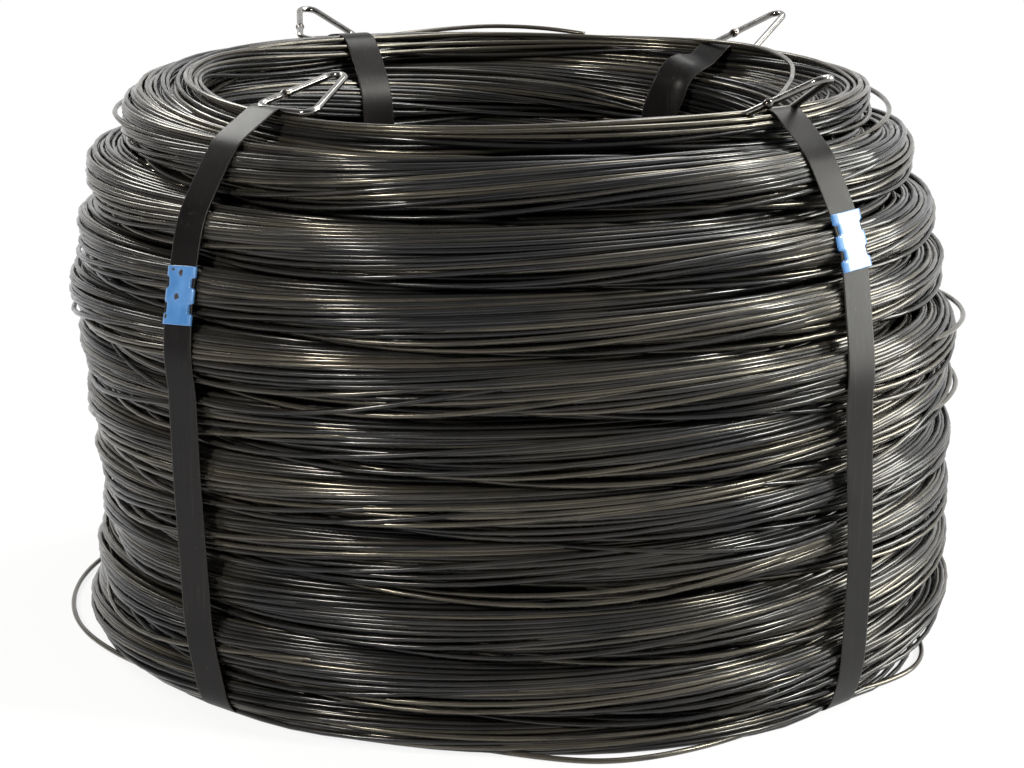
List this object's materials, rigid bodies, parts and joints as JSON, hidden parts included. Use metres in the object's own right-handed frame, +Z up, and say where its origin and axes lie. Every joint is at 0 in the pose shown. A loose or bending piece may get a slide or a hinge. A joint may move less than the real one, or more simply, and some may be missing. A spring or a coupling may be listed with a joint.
{
  "type": "coil of wire rod",
  "caption": "Coil of drawn steel wire rod standing on its end, bound by steel straps with crimped seals and triangular wire loops held at its mouth.",
  "frame": {"origin": "centre of the coil's bore on the floor that the coil stands on", "axes": "+Z up along the bore, -Y towards the front, +X to the right seen from the front"},
  "size_m": [0.7847, 0.7848, 0.5221],
  "materials": {
    "wire_rod": "semi-gloss dark oxide with a warm tan sheen",
    "strap": "satin blackened steel strapping",
    "seal": "glossy blue paint, scuffed",
    "loop_wire": "bright drawn wire"
  },
  "bodies": {
    "root": {"wire_coil": "wire_rod", "strap_front_left": "strap", "strap_front_right": "strap", "strap_back_right": "strap", "strap_back_left": "strap", "seal_front_left": "seal", "seal_front_right": "seal", "seal_back_right": "seal", "seal_back_left": "seal", "wire_loop_front_left": "loop_wire", "wire_loop_front_right": "loop_wire", "wire_loop_back_right": "loop_wire", "wire_loop_back_left": "loop_wire"}
  },
  "joints": []
}
